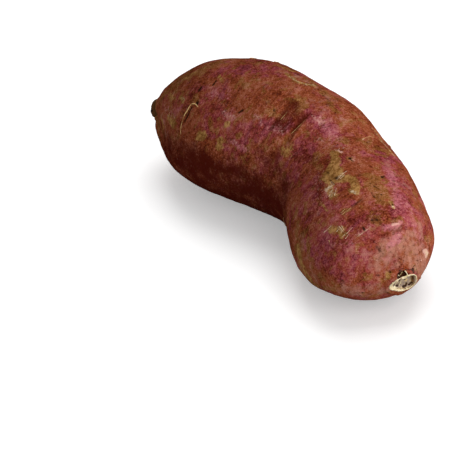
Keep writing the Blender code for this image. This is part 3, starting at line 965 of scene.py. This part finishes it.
def dry_lumps():
    """The lumps in two colours that all dry fibres share, as a node group."""
    group = bpy.data.node_groups.new("dry lumps", "ShaderNodeTree")
    for name, way, kind in (
            ("Light", "INPUT", "NodeSocketColor"), ("Shadow", "INPUT", "NodeSocketColor"),
            ("Lumps per metre", "INPUT", "NodeSocketFloat"),
            ("Colour", "OUTPUT", "NodeSocketColor"), ("Normal", "OUTPUT", "NodeSocketVector")):
        group.interface.new_socket(name, in_out=way, socket_type=kind)
    given = add(group, "NodeGroupInput").outputs
    place = add(group, "ShaderNodeTexCoord").outputs["Object"]
    shade = add(group, "ShaderNodeTexNoise", {
        "Vector": place, "Scale": given["Lumps per metre"], "Detail": 3.0, "Roughness": 0.55}).outputs[0]
    colour = laid(group, given["Light"], given["Shadow"], shade, 0.42, 0.66)
    bump = add(group, "ShaderNodeBump", {"Strength": 0.5, "Distance": 0.0003, "Height": shade})
    add(group, "NodeGroupOutput", {"Colour": colour, "Normal": bump.outputs[0]})
    return group


DRY_LUMPS = dry_lumps()


def dry_material(name, light, shadow, size):
    """A dry fibre's finish: two colours mixed in lumps about so many metres long."""
    material, nodes, shader = new_material(name, 0.65, 0.25)
    lumps = add(
        nodes, "ShaderNodeGroup", {"Light": light, "Shadow": shadow, "Lumps per metre": 1 / size},
        node_tree=DRY_LUMPS).outputs
    fill(nodes, shader, {"Base Color": lumps["Colour"], "Normal": lumps["Normal"]})
    return material


finished_surface = surface_of(skin.data)


def on_skin(pixel):
    """The finished skin at this pixel, and the way it faces."""
    return skin_at(pixel, finished_surface)


def lying_on_skin(pixels, radius, lift=0.0, taper=0.6):
    """A hair along pixels, thinner towards its end, and lifted in its middle by so many mm."""
    line = []
    for number, pixel in enumerate(pixels):
        place, facing = on_skin(pixel)
        share = number / (len(pixels) - 1)
        thick = radius * (1 - taper * share)
        line.append((place + facing * (thick * 0.5 + lift * math.sin(math.pi * share)) * MM, thick))
    return line


# Hairs and fibres, by their pixels: on the back lobe, in the bend and past it, and on the front lobe
LONG_HAIR = (
    (198, 107), (196, 104.5), (193, 104), (191, 106), (189, 110), (186, 115), (184, 119.5),
    (182, 125.5), (181, 130.5), (181, 134.5),
)
STRAW_FIBRES = (
    ((268.6, 116.8), (270.5, 114.8), (272.6, 112.8)),
    ((280.7, 119.7), (284, 116), (287.5, 111.7)),
    ((291, 134), (296, 129.4), (301, 124.6), (306, 119.7)),
    ((362, 139.4), (366.8, 137.4), (371, 136.6), (374.5, 137.4)),
    ((340.7, 213.2), (343, 211), (345.3, 209.1)),
    ((342, 214.6), (344.6, 212.4), (347, 210.6)),
    ((346.8, 211.6), (349, 209.6), (351.4, 207.6)),
    ((329, 240.2), (329.8, 243), (330, 245.3)),
)
PALE_FIBRES = (
    ((338.7, 178.3), (341, 176), (343.2, 173.7), (346.7, 170.8)),
    ((339.8, 179.4), (342.4, 176.8), (345, 174.4)),
    ((327.8, 187.4), (330.6, 186.2), (333.5, 185.1)),
    ((328.9, 196.6), (330.8, 192.4), (333.2, 188.6)),
    ((334.6, 195.4), (335.2, 191.6), (336.4, 188)),
    ((331.2, 181.7), (333, 183.6), (334.6, 185.2)),
    ((323.9, 232.6), (327.4, 229.4), (330.5, 226.4)),
    ((339.2, 226.4), (341.6, 229.4), (343.8, 232.6)),
    ((341.4, 225.8), (342.8, 228), (344, 230.4)),
    ((342.2, 237.1), (343.8, 235.6), (345.3, 234.1)),
    ((346.3, 234.1), (349.4, 230.6), (352.4, 227.4)),
    ((336.2, 232), (338, 230.2), (339.4, 228)),
    ((345.4, 238.6), (347.4, 236.6), (348.6, 234.4)),
    ((357.6, 236.6), (361.6, 233.6), (365.8, 230.6), (369.8, 228)),
)
straw = dry_material("dry root hair", HAIR_STRAW, OCHRE, 2.5 * MM)
pale_dry = dry_material("pale dry fibre", FIBRE_PALE, FIBRE_SHADE, 1.5 * MM)
strands("long_root_hair", [lying_on_skin(LONG_HAIR, radius=0.3, lift=0.9)], straw)
strands("straw_fibres", [lying_on_skin(line, radius=0.13, lift=0.1) for line in STRAW_FIBRES], straw)
strands("pale_fibres", [lying_on_skin(line, radius=0.15) for line in PALE_FIBRES], pale_dry)


def hidden_hairs(count):
    """Short dry hairs on the sides that the photograph doesn't show."""
    lines = []
    for place, facing, around in hidden_places(count):
        aside = facing.cross(around)
        length = CHANCE.uniform(2.5, 11) * MM
        curl = CHANCE.uniform(-0.5, 0.5)
        line = []
        for step in range(6):
            share = step / 5
            spot = place + around * length * share + aside * length * curl * share * share
            spot, out, _, _ = finished_surface.find_nearest(spot)
            lift = 0.1 + 0.5 * math.sin(math.pi * share) * length / (11 * MM)
            line.append((spot + out * lift * MM, 0.22 * (1 - 0.6 * share)))
        lines.append(line)
    return lines


strands("hidden_root_hairs", hidden_hairs(16), straw)

# The scar's raised dry rim, its fibres and its crust
cream_dry = dry_material("dry cream flesh", CREAM, FLESH_SHADE, 1.4 * MM)
tan_dry = dry_material("dry tan flesh", SCAR_TAN, UMBER, 1.2 * MM)
dark_dry = dry_material("dark crust", BARK, CRUST_SHADE, 0.8 * MM)


def scar_line(pixels, radius, lift):
    """A fibre of one thickness along pixels, off the skin by so many mm."""
    line = []
    for pixel in pixels:
        place, facing = on_skin(pixel)
        line.append((place + facing * lift * MM, radius))
    return line


RIM_LIFT = 0.15
rim_line = [scar_line([(x, y)], thickness, RIM_LIFT)[0] for x, y, thickness in SCAR_RIM]
strands("scar_rim", [rim_line], cream_dry, closed=True, roughness=0.3)

# The scar's fibres and its crust, by their pixels
SCAR_SPUR = (((408.2, 275.8), (407.2, 273.6), (406.2, 271.8), (404.4, 270.4)),)
SCAR_RIBS = (
    ((391.4, 287.2), (392.4, 285.2), (393.4, 283.2)),
    ((395, 284.2), (396.6, 282.6), (397.6, 281)),
    ((398.6, 285.2), (400.2, 282.6), (402, 280)),
    ((395, 288.6), (398, 287.8), (400.6, 288)),
    ((402.6, 278), (404.8, 277.6), (406.8, 276.9)),
    ((402.2, 278.8), (404.6, 278.4), (406.4, 277.6)),
    ((397.6, 275.4), (398.8, 275), (399.6, 276)),
)
SCAR_TAN_RIBS = (
    ((396.4, 288.4), (400.6, 288.8), (405.4, 288.2), (409.6, 286.6)),
    ((408.6, 287.2), (412, 285.2), (414.6, 281.8)),
    ((415.6, 282), (416, 279.4), (415.2, 277)),
    ((414.4, 266.4), (415.4, 268.8), (415.2, 271.2)),
    ((400.2, 275.2), (400.6, 273.6), (402.2, 272.2)),
)
SCAR_CRUSTS = (
    ((404.6, 269.2), (407.6, 270.6), (410.6, 269.4), (412.4, 270)),
    ((412.8, 268.4), (413.4, 270.2), (413.6, 272)),
    ((397.4, 274.2), (397, 276.4), (398, 278.2)),
    ((399.2, 271.2), (401.2, 270.4), (403.4, 270.8)),
)
# Each piece has its lines, their radius, their lift and their roughness in mm
for name, lines, radius, lift, material, roughness in (
        ("scar_spur", SCAR_SPUR, 0.22, 0.25, cream_dry, 0.2),
        ("scar_ribs", SCAR_RIBS, 0.22, 0, cream_dry, 0.3),
        ("scar_tan_ribs", SCAR_TAN_RIBS, 0.28, 0, tan_dry, 0.35),
        ("scar_crust", SCAR_CRUSTS, 0.24, 0, dark_dry, 0.5)):
    lines = [scar_line(line, radius, lift) for line in lines]
    strands(name, lines, material, roughness=roughness)

# Floor, light and camera
FLOOR_HALF = 4
bm = bmesh.new()
bmesh.ops.create_grid(bm, x_segments=1, y_segments=1, size=FLOOR_HALF)
floor_mesh = bpy.data.meshes.new("floor")
bm.to_mesh(floor_mesh)
bm.free()
floor = put_in_scene("floor", floor_mesh)
WHITE = (1, 1, 1, 1)
FLOOR_SEEN = (0.9, 0.9, 0.9, 1)
FLOOR_FILL = (0.5, 0.5, 0.5, 1)
FLOOR_GLOW = 0.33


def floor_finish():
    """White to the eye, and greyer as a source of light from below."""
    material, nodes, shader = new_material("white studio floor", 0.9)
    seen = add(nodes, "ShaderNodeLightPath").outputs["Is Camera Ray"]
    fill(nodes, shader, {
        "Base Color": over(nodes, FLOOR_FILL, FLOOR_SEEN, seen), "Emission Color": WHITE,
        "Emission Strength": sum_of(nodes, seen, FLOOR_GLOW, "MULTIPLY")})
    return material


floor_mesh.materials.append(floor_finish())

# Soft boxes on the right, in front and low down, and a dim white room. The boxes at the side
# light the root alone, so that it throws no long shadow, and one overhead lights the floor.
LIGHT_FROM = Vector((0.05, 0, 0.03))
ROOM_LIGHT = 0.4


def soft_box(name, right, up, toward_viewer, distance, size, power, lights_only=None):
    """A square lamp, on one side of the root as the camera sees it; sizes are in metres."""
    way = RIGHT * right + UP * up + BACK * toward_viewer
    way.normalize()
    light = bpy.data.lights.new(name, "AREA")
    light.shape = "SQUARE"
    light.size = size
    light.energy = power
    lamp = put_in_scene(name, light)
    lamp.location = LIGHT_FROM + way * distance
    lamp.rotation_euler = way.to_track_quat("Z", "Y").to_euler()
    lamp.light_linking.receiver_collection = lights_only


the_root = bpy.data.collections.new("the root")
the_floor = bpy.data.collections.new("the floor")
for piece in scene.objects:
    if piece.type == "MESH":
        (the_floor if piece == floor else the_root).objects.link(piece)
# How far right, up and towards the viewer each stands, then its distance, its size and its power
soft_box("right_soft_box", 0.75, 0.45, 0.48, 0.6, 0.42, 2.3, the_root)
soft_box("front_soft_box", 0.4, 0.1, 0.85, 0.6, 0.6, 1.2)
soft_box("low_soft_box", 0.6, -0.42, 0.7, 0.5, 0.3, 0.7, the_root)
soft_box("top_soft_box", 0.0, 0.95, 0.3, 0.9, 0.7, 5.0, the_floor)

world = bpy.data.worlds.new("white room")
scene.world = world
world.use_nodes = True
room = world.node_tree
seen_directly = add(room, "ShaderNodeLightPath").outputs["Is Camera Ray"]
fill(room, room.nodes["Background"], {
    "Color": WHITE, "Strength": rise(room, seen_directly, 0.0, 1.0, bottom=ROOM_LIGHT)})
scene.view_settings.view_transform = "Standard"

camera_data = bpy.data.cameras.new("camera")
camera_data.sensor_fit = "HORIZONTAL"
camera_data.angle = FIELD_OF_VIEW
camera_data.clip_start = 0.01
camera = put_in_scene("camera", camera_data)
turn = Matrix((RIGHT, UP, BACK)).transposed().to_4x4()
camera.matrix_world = Matrix.Translation(EYE) @ turn
scene.camera = camera
